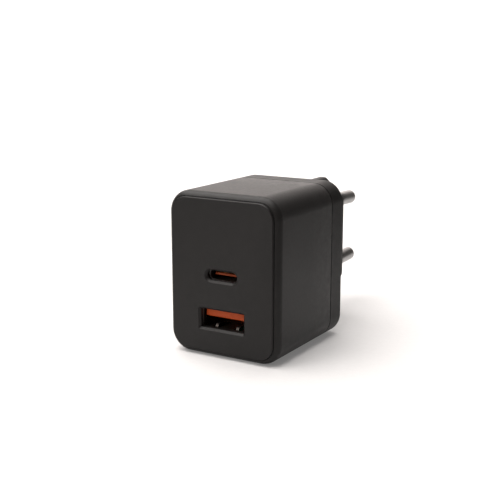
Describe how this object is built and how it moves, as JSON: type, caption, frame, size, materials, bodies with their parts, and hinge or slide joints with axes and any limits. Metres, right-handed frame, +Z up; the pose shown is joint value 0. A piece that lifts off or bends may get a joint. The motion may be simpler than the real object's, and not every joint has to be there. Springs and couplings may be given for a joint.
{
  "type": "usb wall charger",
  "caption": "Upright box-shaped wall charger with a port plate in front and a fixed round-pin plug on a deep stalk behind.",
  "frame": {"origin": "Middle of the plug's engagement face, the flat end of the stalk that the two pins stand out of.", "axes": "+Y out of the engagement face, into the wall socket; +Z up, with one pin above the other and the lower port at the bottom; +X to the right as seen from the port plate."},
  "size_m": [0.0316, 0.073, 0.041],
  "materials": {
    "casing": "fine satin-matt moulded texture",
    "orange_insulator": "moulded nylon",
    "sleeve": "smooth moulded",
    "pin_metal": "nickel plated brass",
    "shell_metal": "nickel plated steel",
    "contact_gold": "gold plated",
    "copper": "bare copper alloy",
    "board": "solder mask",
    "component_black": "moulded epoxy",
    "carrier": "moulded insulating plastic",
    "ferrite": "sintered ferrite",
    "tape": "polyester tape",
    "film": "polyester film",
    "can": "drawn aluminium",
    "can_sleeve": "shrink sleeve",
    "filter_case": "moulded case",
    "disc_blue": "dipped epoxy",
    "choke_green": "coated ferrite",
    "fuse_brown": "shrink sleeve",
    "inductor_grey": "pressed powder",
    "plate_aluminium": "sheet aluminium",
    "pad": "soft silicone"
  },
  "bodies": {
    "root": {"front_panel": "casing", "main_housing": "casing", "rear_cover": "casing", "pin_carrier": "carrier", "live_pin": "pin_metal", "neutral_pin": "pin_metal", "live_pin_sleeve": "sleeve", "neutral_pin_sleeve": "sleeve", "live_contact_strip": "copper", "neutral_contact_strip": "copper", "usb_a_shell": "shell_metal", "usb_a_insulator": "orange_insulator", "usb_a_contacts": "contact_gold", "usb_c_shell": "shell_metal", "usb_c_insulator": "orange_insulator", "usb_c_contacts": "contact_gold", "port_board": "board", "port_controller": "component_black", "port_inductor": "inductor_grey", "port_capacitor": "can", "board_header_pins": "contact_gold", "board_header_body": "component_black", "insulating_sheet": "film", "main_board": "board", "transformer_core": "ferrite", "transformer_bobbin": "component_black", "transformer_winding": "tape", "bulk_capacitors": "can_sleeve", "output_capacitors": "can", "filter_capacitor": "filter_case", "safety_capacitor": "disc_blue", "choke_core": "choke_green", "choke_winding": "copper", "fuse": "fuse_brown", "bridge_rectifier": "component_black", "primary_controller": "component_black", "sync_rectifier": "component_black", "optocoupler": "component_black", "heat_spreader": "plate_aluminium", "thermal_pad": "pad"}
  },
  "joints": []
}
